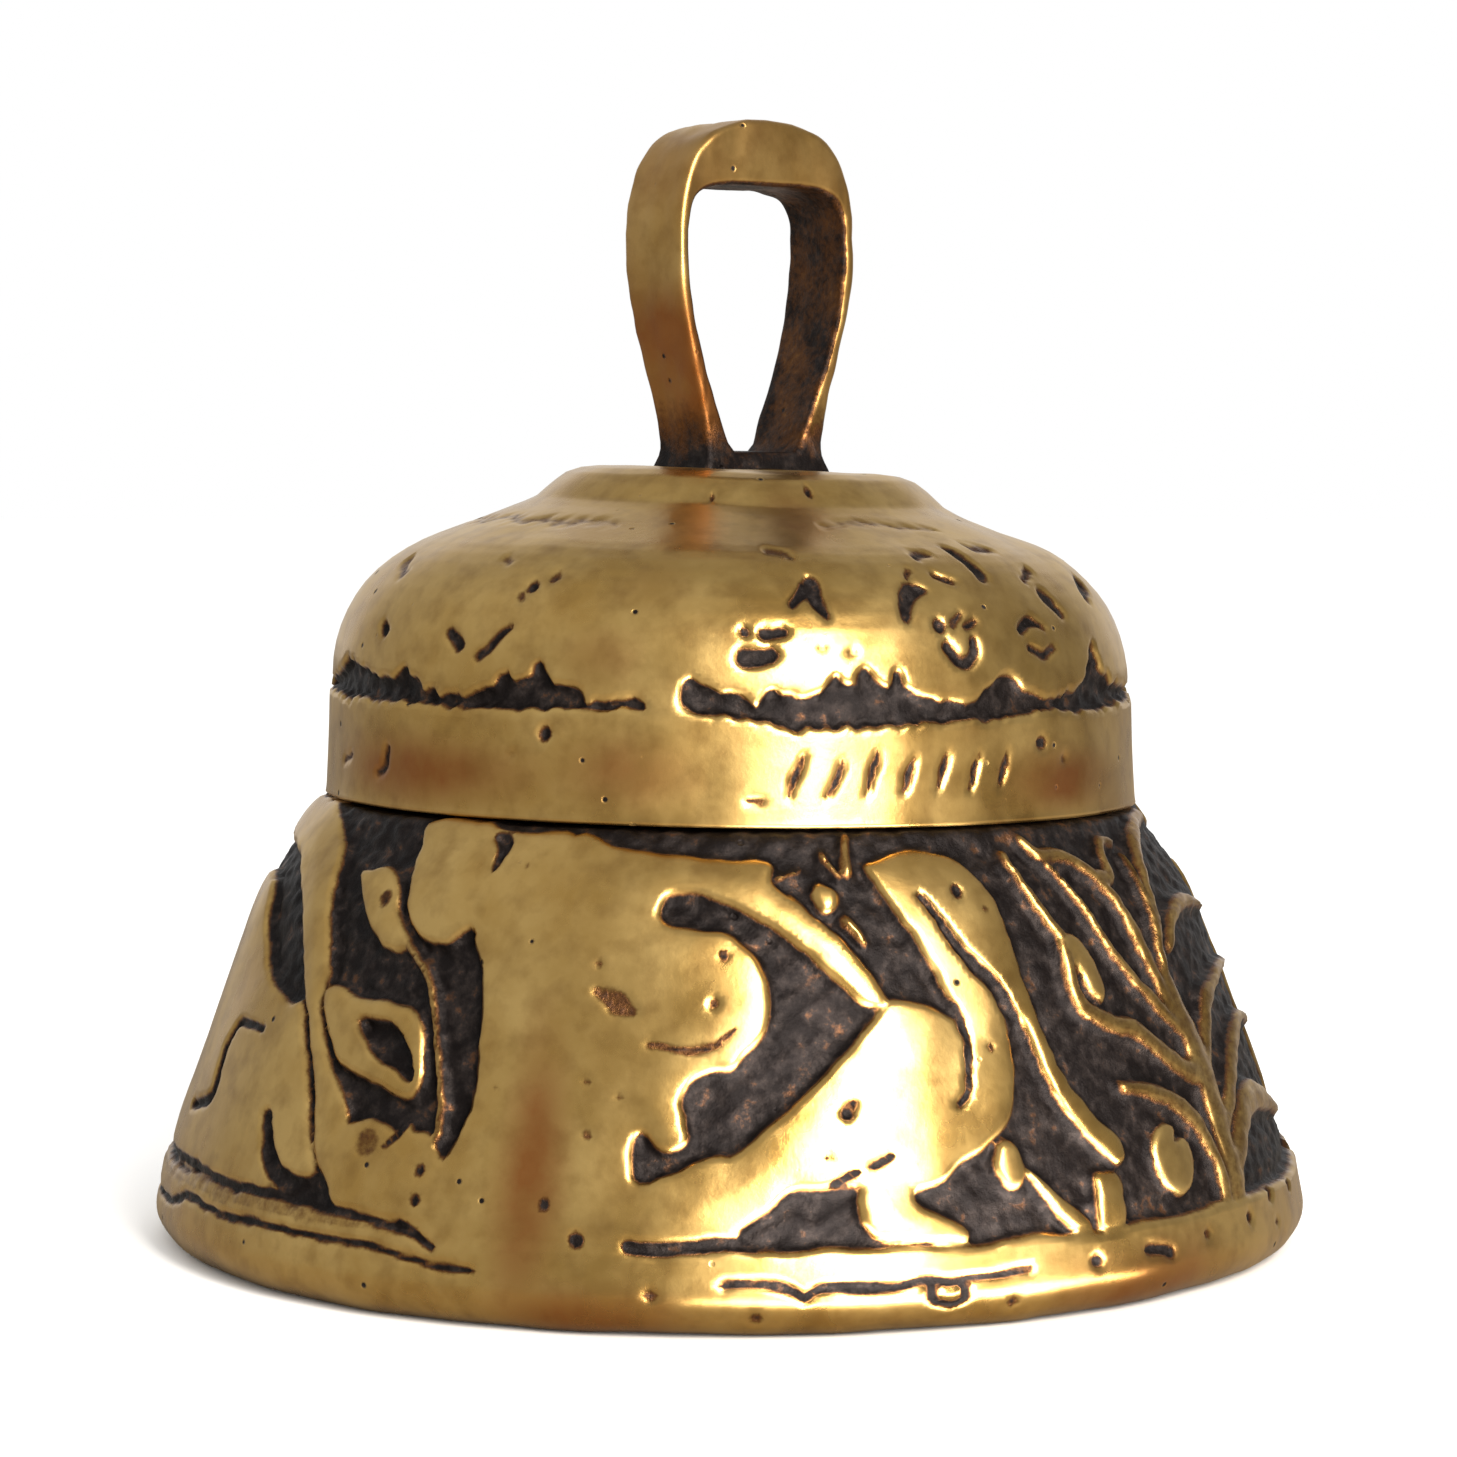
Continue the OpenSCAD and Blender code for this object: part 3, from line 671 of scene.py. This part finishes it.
def outer_face(co, outline):
    """Which vertices lie on the outline, and which way its face looks there, as radius and height."""
    radius = np.hypot(co[:, 0], co[:, 1])
    outline = np.array(outline)
    slope = np.gradient(outline, axis=0)
    slope /= np.maximum(np.hypot(*slope.T), 1e-9)[:, None]
    ring = np.zeros(len(co), int)
    closest = np.full(len(co), 1.0)
    for i, (r, z) in enumerate(outline):
        away = np.abs(radius - r) + np.abs(co[:, 2] - z)
        ring[away < closest] = i
        closest = np.minimum(closest, away)
    face = np.nonzero(closest < 0.01)[0]
    return face, np.stack([slope[ring, 1], -slope[ring, 0]], axis=1)[face]


def sculpt(piece, outline, carve):
    """Cuts the carving into a turned piece's outer face, and stores how dark each point has gone."""
    mesh = piece.data
    co = corners(mesh)
    face, out = outer_face(co, outline)
    spots = co[face]
    round_axis = np.arctan2(spots[:, 1], spots[:, 0])
    # the band leans above 16 mm and the crown above 38 mm, and the crown has slid off the axis
    lean = TILT_BAND * smoothstep((spots[:, 2] - 16) / 10) + TILT_CROWN * smoothstep((spots[:, 2] - 38) / 7)
    spots[:, 2] -= lean * (spots[:, :2] @ SIDE)
    angle = (np.degrees(round_axis) - FRONT + 180) % 360 - 180
    spots[:, :2] += np.outer(smoothstep((spots[:, 2] - 39) / 5), CROWN_SHIFT)
    depth, dark = carve(angle, spots[:, 2], spots)
    rough = 0.5 + 0.5 * ripple(spots, 0.7, 21)
    worn = 0.6 + 0.3 * ripple(spots, 9, 22) + 0.3 * ripple(spots, 3.4, 23)
    depth = depth + DENT * worn + ROUGH_GROUND * dark * rough
    spots[:, 0] -= depth * out[:, 0] * np.cos(round_axis)
    spots[:, 1] -= depth * out[:, 0] * np.sin(round_axis)
    spots[:, 2] -= depth * out[:, 1]
    co[face] = spots
    mesh.vertices.foreach_set("co", (co * MM).ravel())
    patina = DULL_INSIDE + 0.16 * ripple(co, 7, 24)
    patina[face] = dark
    store(mesh, "patina", patina)
    # red-brown tarnish, with the painted shade streak down the beast's chest, for the shader
    tarnish_and_painted_shade = np.full(len(co), 0.5)
    tarnish_and_painted_shade[face] = tarnish_and_painted_shade_at(angle, co[face, 2])
    store(mesh, "tarnish_and_painted_shade", tarnish_and_painted_shade)
    # triangles that follow the carved edges, whichever way they run
    bm = bmesh.new()
    bm.from_mesh(mesh)
    bmesh.ops.triangulate(bm, faces=bm.faces, quad_method="SHORT_EDGE", ngon_method="BEAUTY")
    bm.to_mesh(mesh)
    bm.free()
    mesh.update()


# Where the brass has gone red-brown from handling, and one painted shade: the patch at -19 degrees, 8 mm
# is a dark streak down the beast's chest for the shaded reflection in the hollow there. Angle, height,
# half width in degrees, half height in mm, and how far it has gone.
TARNISH_AND_PAINTED_SHADE = [
    (-48, 29.3, 20, 2.0, 1.0), (-14, 29.6, 10, 2.2, 0.6), (52, 28.6, 14, 1.8, 0.9), (-13, 1.0, 9, 2.0, 1.0),
    # the patch at -19 degrees, 8 mm is painted shade: a dark red-brown streak down the chest for its
    # reflection
    (-19, 8, 3.5, 8, 0.9), (-12, 40, 9, 2, 0.3), (42, 1.6, 11, 2.2, 0.9), (-18, 36, 7, 2, 0.4),
    (72, 24, 14, 4, 0.4), (14, 43.5, 10, 2, 0.5),
]


def tarnish_and_painted_shade_at(angle, height):
    """How red-brown each place is, from 0 to 1: tarnish, and the painted shade streak down the chest."""
    half = half_way_round(angle)
    total = np.zeros(len(angle))
    for across, up, wide, tall, amount in TARNISH_AND_PAINTED_SHADE:
        off = ((half - across) / wide) ** 2 + ((height - up) / tall) ** 2
        total = np.maximum(total, amount * np.exp(-off))
    return total


# ---- The bell's casting: metal ----
# Yellow brass, sand cast and rubbed bright where it stands proud: golden olive with a soft gloss, fine
# casting pits, and a brown-black crust of old polish and oxide in every hollow. The meshes' patina and
# tarnish say where.
CLOUD, MOTTLE, CRUST, GRAIN = 6.0, 1.6, 1.1, 0.45  # size across, in mm: colour, stain, crust and sand grain
PIT_SPACING = 1.5
# the red-brown is tarnish, and on the beast's chest it is painted shade
STAIN, RED_TARNISH_AND_PAINTED_SHADE, BROWN_FRINGE = "#8F6A38", "#9A5B2C", "#6B4526"
CRUST_DARK, CRUST_PALE = "#120D0C", "#332C29"


def cast_brass(name, bright, deep, gloss):
    """Brass between two colours, at that roughness where it is rubbed brightest."""
    material, tree = new_material(name)
    place = add(tree, "ShaderNodeTexCoord").outputs["Object"]
    cloud = add(tree, "ShaderNodeTexNoise", {
        "Vector": place, "Scale": 1 / (CLOUD * MM), "Detail": 4.0, "Roughness": 0.6}).outputs["Fac"]
    grain = add(tree, "ShaderNodeTexNoise", {
        "Vector": place, "Scale": 1 / (GRAIN * MM), "Detail": 6.0, "Roughness": 0.65}).outputs["Fac"]
    # bare metal: clouds of colour, brown stains, and red-brown for tarnish
    # and for the painted shade streak down the beast's chest
    tone = add(tree, "ShaderNodeMapRange", {
        "Value": cloud, "From Min": 0.35, "From Max": 0.65}).outputs["Result"]
    metal = add(tree, "ShaderNodeMix", {
        "Factor": tone, 6: linear(deep), 7: linear(bright)}, data_type="RGBA").outputs[2]
    mottle = add(tree, "ShaderNodeTexNoise", {"Vector": place, "Scale": 1 / (MOTTLE * MM), "Detail": 6.0})
    mottle = add(tree, "ShaderNodeMapRange", {
        "Value": mottle.outputs["Fac"], "From Min": 0.45, "From Max": 0.75, "To Max": 0.5}).outputs["Result"]
    metal = add(tree, "ShaderNodeMix", {
        "Factor": mottle, 6: metal, 7: linear(STAIN)}, data_type="RGBA").outputs[2]
    red = add(tree, "ShaderNodeAttribute", attribute_name="tarnish_and_painted_shade").outputs["Fac"]
    red = add(tree, "ShaderNodeMath", {0: red, 1: cloud}, operation="MULTIPLY").outputs[0]
    red = add(tree, "ShaderNodeMapRange", {
        "Value": red, "From Min": 0.08, "From Max": 0.5, "To Max": 0.85}).outputs["Result"]
    metal = add(tree, "ShaderNodeMix", {
        "Factor": red, 6: metal, 7: linear(RED_TARNISH_AND_PAINTED_SHADE)}, data_type="RGBA").outputs[2]
    # a pit is a voronoi cell's centre, in the few cells whose own shade lets it through
    pits = add(tree, "ShaderNodeTexVoronoi", {
        "Vector": place, "Scale": 1 / (PIT_SPACING * MM), "Randomness": 1.0})
    pit = add(tree, "ShaderNodeMapRange", {
        "Value": pits.outputs["Distance"], "From Min": 0.08, "From Max": 0.16, "To Min": 1.0, "To Max": 0.0})
    chosen = add(tree, "ShaderNodeMath", {0: pits.outputs["Color"], 1: 0.78}, operation="GREATER_THAN")
    pit = add(tree, "ShaderNodeMath", {
        0: pit.outputs["Result"], 1: chosen.outputs[0]}, operation="MULTIPLY").outputs[0]
    # the hollows: a brown fringe, then the crust, both with a ragged edge
    hollow = add(tree, "ShaderNodeAttribute", attribute_name="patina").outputs["Fac"]
    ragged = add(tree, "ShaderNodeMath", {0: grain, 1: 0.5, 2: hollow}, operation="MULTIPLY_ADD").outputs[0]
    fringe = add(tree, "ShaderNodeMapRange", {
        "Value": ragged, "From Min": 0.36, "From Max": 0.80},
        interpolation_type="SMOOTHSTEP").outputs["Result"]
    metal = add(tree, "ShaderNodeMix", {
        "Factor": fringe, 6: metal, 7: linear(BROWN_FRINGE)}, data_type="RGBA").outputs[2]
    crust = add(tree, "ShaderNodeTexNoise", {
        "Vector": place, "Scale": 1 / (CRUST * MM), "Detail": 5.0, "Roughness": 0.6}).outputs["Fac"]
    fleck = add(tree, "ShaderNodeMapRange", {
        "Value": crust, "From Min": 0.40, "From Max": 0.78},
        interpolation_type="SMOOTHSTEP").outputs["Result"]
    old = add(tree, "ShaderNodeMix", {
        "Factor": fleck, 6: linear(CRUST_DARK), 7: linear(CRUST_PALE)}, data_type="RGBA").outputs[2]
    dark = add(tree, "ShaderNodeMapRange", {
        "Value": ragged, "From Min": 0.62, "From Max": 0.98},
        interpolation_type="SMOOTHSTEP").outputs["Result"]
    # the tallest grains of the rough ground are rubbed bright
    rubbed_grain = add(tree, "ShaderNodeMapRange", {
        "Value": crust, "From Min": 0.60, "From Max": 0.72, "To Min": 1.0, "To Max": 0.45}).outputs["Result"]
    dark = add(tree, "ShaderNodeMath", {0: dark, 1: rubbed_grain}, operation="MULTIPLY").outputs[0]
    dark = add(tree, "ShaderNodeMath", {0: dark, 1: pit}, operation="MAXIMUM").outputs[0]
    colour = add(tree, "ShaderNodeMix", {"Factor": dark, 6: metal, 7: old}, data_type="RGBA").outputs[2]
    rubbed = add(tree, "ShaderNodeMapRange", {
        "Value": cloud, "From Min": 0.3, "From Max": 0.7,
        "To Min": gloss, "To Max": gloss + 0.12}).outputs["Result"]
    roughness = add(tree, "ShaderNodeMix", {"Factor": dark, 2: rubbed, 3: 0.5}, data_type="FLOAT").outputs[0]
    metallic = add(tree, "ShaderNodeMapRange", {
        "Value": dark, "To Min": 1.0, "To Max": 0.6}).outputs["Result"]
    relief = add(tree, "ShaderNodeMix", {"Factor": dark, 2: 0.14, 3: 1.0}, data_type="FLOAT").outputs[0]
    height = add(tree, "ShaderNodeMath", {0: grain, 1: relief}, operation="MULTIPLY").outputs[0]
    height = add(tree, "ShaderNodeMath", {0: height, 1: pit}, operation="SUBTRACT").outputs[0]
    bump = add(tree, "ShaderNodeBump", {"Height": height, "Strength": 0.7, "Distance": 0.12 * MM})
    shader = add(tree, "ShaderNodeBsdfPrincipled", {
        "Base Color": colour, "Metallic": metallic, "Roughness": roughness,
        "Specular IOR Level": 0.22, "Normal": bump.outputs["Normal"]})
    add(tree, "ShaderNodeOutputMaterial", {"Surface": shader.outputs["BSDF"]})
    return material


# warm yellow, near enough polished to mirror the panel as a soft white patch
bell_brass = cast_brass("polished_cast_yellow_brass", "#D3B06C", "#BD9652", 0.24)

skirt_face = even(skirt_outer, SKIRT_STEP)
bell_skirt = turned("bell_skirt", list(skirt_face) + skirt_inner[::-1], SKIRT_TURNS)
sculpt(bell_skirt, skirt_face, carve_frieze)
crown_face = even(crown_outer, CROWN_STEP)
bell_crown = turned("bell_crown", list(crown_face) + [(HOLE_R, CROWN_Z)] + crown_inner[::-1], CROWN_TURNS)
sculpt(bell_crown, crown_face, carve_crown)
for piece in (bell_skirt, bell_crown):
    piece.data.materials.append(bell_brass)
    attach(piece, "bell")
    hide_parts("bell_body")


# ---- The loop handle ----
# A strap of the same brass, cast as a loop with a thick flat arch. Fingers have worn its edges round.
# The inside of the loop and the legs near the foot are darker and rougher.
loop_low, loop_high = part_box("loop_handle")
LOOP_W = (loop_high.x - loop_low.x) / MM
LOOP_TOP = loop_high.z / MM
FOOT_W, FOOT_T = 9.0, 1.1
STRAP_W = 5.6
STRAP_T, STRAP_FOOT_T = 1.1, 1.45  # the legs' thickness at the belly and at the foot
ARCH_T = 4.1
FOOT_FILLET = 0.5
BELLY_Z = CROWN_Z + 13  # where the loop is widest
SUNK = 0.9  # the foot is bedded this far into the crown
RIM_R = 0.52  # the strap's rims are worn to this radius
OUTER_SQUARE, INNER_SQUARE = 2.7, 4.5  # 2 is a round arch, and more is squarer
SPIGOT_R, SPIGOT_L = HOLE_R, 3.2


def loop_line(foot, belly, low, top, square, swell):
    """One closed outline of the loop: legs that swell to the belly, under an arch squared off a little."""
    half = []
    for t in np.linspace(0, 1, 34, endpoint=False):
        half.append((foot + (belly - foot) * swell(t), low + (BELLY_Z - low) * t))
    for a in np.radians(np.linspace(0, 90, 26)):
        half.append((belly * max(math.cos(a), 0) ** (2 / square),
                     BELLY_Z + (top - BELLY_Z) * math.sin(a) ** (2 / square)))
    return half + [(-x, z) for x, z in half[-2::-1]]


def loop_mesh():
    """The strap: both outlines bridged into a flat ring, drawn out along Y, its rims worn round."""
    hole = FOOT_W / 2 - STRAP_FOOT_T - 0.4
    outer = loop_line(FOOT_W / 2, LOOP_W / 2, CROWN_Z - SUNK, LOOP_TOP,
                      OUTER_SQUARE, lambda t: (1 - math.cos(math.pi * t)) / 2)
    inner = loop_line(hole, LOOP_W / 2 - STRAP_T, CROWN_Z + FOOT_T + FOOT_FILLET, LOOP_TOP - ARCH_T,
                      INNER_SQUARE, lambda t: math.sin(math.pi / 2 * t))
    bridge = hole - FOOT_FILLET
    outer += [(-bridge, CROWN_Z - SUNK), (bridge, CROWN_Z - SUNK)]
    inner += [(-bridge, CROWN_Z + FOOT_T), (bridge, CROWN_Z + FOOT_T)]
    bm = bmesh.new()
    rings = []
    for line in (outer, inner):
        verts = [bm.verts.new((x * MM, -STRAP_W / 2 * MM, z * MM)) for x, z in line]
        rings += [bm.edges.new((a, b)) for a, b in zip(verts, verts[1:] + verts[:1])]
    bmesh.ops.bridge_loops(bm, edges=rings)
    grown = bmesh.ops.extrude_face_region(bm, geom=bm.faces[:] + bm.edges[:] + bm.verts[:])["geom"]
    bmesh.ops.translate(bm, verts=[v for v in grown if isinstance(v, bmesh.types.BMVert)],
                        vec=(0, STRAP_W * MM, 0))
    bmesh.ops.recalc_face_normals(bm, faces=bm.faces)
    sharp = [e for e in bm.edges if len(e.link_faces) == 2 and e.calc_face_angle() > 1.0]
    bmesh.ops.bevel(bm, geom=sharp, offset=RIM_R * MM, segments=5, profile=0.5, affect="EDGES", material=-1)
    long = [e for e in bm.edges if abs(e.verts[0].co.y - e.verts[1].co.y) > 1.5 * MM]
    bmesh.ops.subdivide_edges(bm, edges=long, cuts=9, use_grid_fill=True)
    mesh = bpy.data.meshes.new("strap_loop")
    bm.to_mesh(mesh)
    bm.free()
    mesh.shade_smooth()
    return mesh


def wear_loop(mesh):
    """Lumps and wear on the strap, a flared foot, and where it is dark or red-brown."""
    co = corners(mesh)
    normal = np.array([v.normal for v in mesh.vertices])
    over = co[:, 2] - CROWN_Z
    spread = 0.45 * np.clip(1 - over / 1.8, 0, 1) ** 2
    lumps = 0.06 * ripple(co, 2.6, 31) + 0.04 * ripple(co, 1.1, 32) - 0.1
    move = normal * lumps[:, None]
    move[:, 0] += np.sign(co[:, 0]) * spread * (np.abs(co[:, 0]) > 2)
    move[:, 1] += np.sign(co[:, 1]) * spread - co[:, 1] * 0.12 * smoothstep(1 - over / 12)
    # the inside of the loop is what looks at a point 10 mm over the crown
    away = np.stack([co[:, 0], over - 10], axis=1)
    away /= np.hypot(*away.T)[:, None]
    inside = smoothstep((-(normal[:, 0] * away[:, 0] + normal[:, 2] * away[:, 1]) - 0.15) / 0.5)
    left = smoothstep((-co[:, 0] - 2) / 2) * smoothstep((13 - over) / 5)
    # the inside of the loop and the legs near the foot are darker
    patina = np.maximum(0.60 * inside, 0.8 * smoothstep((6.0 - over) / 6.5)) + 0.08 * ripple(co, 1.8, 33)
    tarnish_and_painted_shade = np.maximum(np.maximum(left, 0.5 * inside), 0.25 + 0.15 * ripple(co, 4, 34))
    co += move
    co[:, :2] += CROWN_SHIFT
    co[:, 2] = np.minimum(co[:, 2], LOOP_TOP)
    mesh.vertices.foreach_set("co", (co * MM).ravel())
    store(mesh, "patina", patina)
    store(mesh, "tarnish_and_painted_shade", tarnish_and_painted_shade)
    mesh.update()
    return mesh


def add_spigot(mesh):
    """The round spigot under the foot, which the crown's hole takes; the eye bolt screws up into it."""
    bm = bmesh.new()
    bm.from_mesh(mesh)
    made = bmesh.ops.create_cone(bm, cap_ends=True, segments=48, radius1=SPIGOT_R * MM,
                                 radius2=SPIGOT_R * MM, depth=SPIGOT_L * MM)
    bmesh.ops.translate(bm, verts=made["verts"], vec=(0, 0, (CROWN_Z - SPIGOT_L / 2 - 0.2) * MM))
    bm.to_mesh(mesh)
    bm.free()
    return mesh


strap_loop = put("strap_loop", add_spigot(wear_loop(loop_mesh())))
# the same brass, handled more and so a little duller
strap_loop.data.materials.append(cast_brass("hand_worn_cast_brass", "#CFAC6C", "#B78F50", 0.30))
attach(strap_loop, "bell")
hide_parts("loop_handle")


# ---- Clapper gear ----
# A turned brass washer, nut and eye bolt under the crown, a link and rod bent from iron wire, and a turned
# brass ball driven onto the rod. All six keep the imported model's shape, and get their metals here.
BLOOM, TOOL_GRAIN = 2.5, 0.3  # size across in mm


def dull_metal(name, bright, deep, gloss):
    """Metal that was never polished: brown bloom in clouds, fine tool grain."""
    material, tree = new_material(name)
    place = add(tree, "ShaderNodeTexCoord").outputs["Object"]
    bloom = add(tree, "ShaderNodeTexNoise", {"Vector": place, "Scale": 1 / (BLOOM * MM), "Detail": 5.0})
    grain = add(tree, "ShaderNodeTexNoise", {"Vector": place, "Scale": 1 / (TOOL_GRAIN * MM), "Detail": 4.0})
    colour = add(tree, "ShaderNodeMix", {
        "Factor": bloom.outputs["Fac"], 6: linear(deep), 7: linear(bright)}, data_type="RGBA")
    rough = add(tree, "ShaderNodeMapRange", {
        "Value": bloom.outputs["Fac"], "From Min": 0.3, "From Max": 0.7,
        "To Min": gloss + 0.15, "To Max": gloss})
    bump = add(tree, "ShaderNodeBump", {
        "Height": grain.outputs["Fac"], "Strength": 0.4, "Distance": 0.05 * MM})
    shader = add(tree, "ShaderNodeBsdfPrincipled", {
        "Base Color": colour.outputs[2], "Metallic": 1.0, "Roughness": rough.outputs["Result"],
        "Normal": bump.outputs["Normal"]})
    add(tree, "ShaderNodeOutputMaterial", {"Surface": shader.outputs["BSDF"]})
    return material


def refinish(node, material):
    """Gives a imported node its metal."""
    node.data.materials.clear()
    node.data.materials.append(material)


# brass left as it came off the lathe, gone brown
inner_brass = dull_metal("dull_turned_brass", "#8F7440", "#4A3A22", 0.42)
for name in ("crown_washer", "lock_nut", "eye_bolt"):
    refinish(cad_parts[name], inner_brass)
# iron wire with its blue-black forge scale
oxidised_iron = dull_metal("oxidised_iron_wire", "#5C5048", "#2A221E", 0.5)
for name in ("clapper_link", "clapper_rod"):
    refinish(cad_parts[name], oxidised_iron)
# brass that striking the wall keeps half bright
refinish(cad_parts["clapper_ball"], dull_metal("satin_turned_brass", "#B8954E", "#7A5E30", 0.3))
